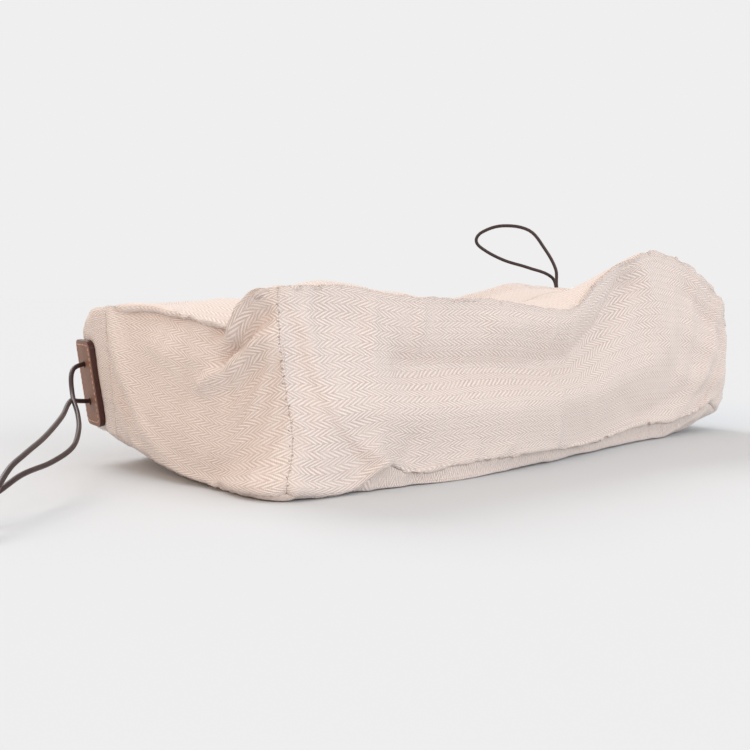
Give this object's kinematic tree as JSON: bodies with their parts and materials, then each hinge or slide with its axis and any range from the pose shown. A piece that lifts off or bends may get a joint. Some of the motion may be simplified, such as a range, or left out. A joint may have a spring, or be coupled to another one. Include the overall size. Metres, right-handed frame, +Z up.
{
  "type": "drawstring shoe bag",
  "caption": "Soft box-shaped cotton shoe bag lying on its side, with a cord in the hem of its mouth and leather patches at both ends.",
  "frame": {"origin": "on the surface that the bag lies on, under the middle of the bag's box without the free cord loops", "axes": "+X along the bag's length, +Y from the base panel towards the mouth, +Z up"},
  "size_m": [0.5691, 0.2231, 0.1443],
  "materials": {
    "canvas": "matt herringbone cotton canvas",
    "canvas_hem": "matt herringbone cotton canvas, folded and sewn",
    "patch_leather": "smooth brown leather with dark painted edges",
    "patch_thread": "waxed sewing thread",
    "leather_cord": "round dark brown leather cord, satin",
    "binding_tape": "plain cotton tape"
  },
  "bodies": {
    "bag": {"base_panel": "canvas", "end_panel_left": "canvas", "end_panel_right": "canvas", "side_panel_upper": "canvas", "side_panel_lower": "canvas", "mouth_hem_left": "canvas_hem", "mouth_hem_right": "canvas_hem", "leather_patch_left": "patch_leather", "leather_patch_right": "patch_leather", "patch_stitching_left": "patch_thread", "patch_stitching_right": "patch_thread", "cord_rise_left_upper": "leather_cord", "cord_rise_left_lower": "leather_cord", "cord_rise_right_upper": "leather_cord", "cord_rise_right_lower": "leather_cord", "seam_binding_base_upper": "binding_tape", "seam_binding_base_lower": "binding_tape", "seam_binding_base_left": "binding_tape", "seam_binding_base_right": "binding_tape", "seam_binding_upper_left": "binding_tape", "seam_binding_upper_right": "binding_tape", "seam_binding_lower_left": "binding_tape", "seam_binding_lower_right": "binding_tape"},
    "upper_lip": {"mouth_lip_upper": "canvas", "mouth_hem_upper": "canvas_hem", "cord_run_upper": "leather_cord"},
    "lower_lip": {"mouth_lip_lower": "canvas", "mouth_hem_lower": "canvas_hem", "cord_run_lower": "leather_cord"},
    "left_loop": {"cord_loop_left": "leather_cord"},
    "right_loop": {"cord_loop_right": "leather_cord"}
  },
  "joints": [
    {"name": "upper_lip_fold", "type": "hinge", "parent": "bag", "child": "upper_lip", "pos_m": [0, 0.002, 0.08], "axis": [-1, 0, 0], "range_deg": [0, 21]},
    {"name": "lower_lip_fold", "type": "hinge", "parent": "bag", "child": "lower_lip", "pos_m": [0, 0.002, 0.008], "axis": [1, 0, 0], "range_deg": [0, 21]},
    {"name": "left_loop_pull", "type": "slide", "parent": "bag", "child": "left_loop", "axis": [-0.9613, 0.2756, 0], "range_m": [0, 0.02759]},
    {"name": "right_loop_pull", "type": "slide", "parent": "bag", "child": "right_loop", "axis": [0.9613, 0.2756, 0], "range_m": [0, 0.02759]}
  ],
  "couplings": [
    {"joint": "lower_lip_fold", "follows": "upper_lip_fold", "ratio": 1},
    {"joint": "left_loop_pull", "follows": "upper_lip_fold", "m_per_rad": 0.075},
    {"joint": "right_loop_pull", "follows": "upper_lip_fold", "m_per_rad": 0.075}
  ]
}
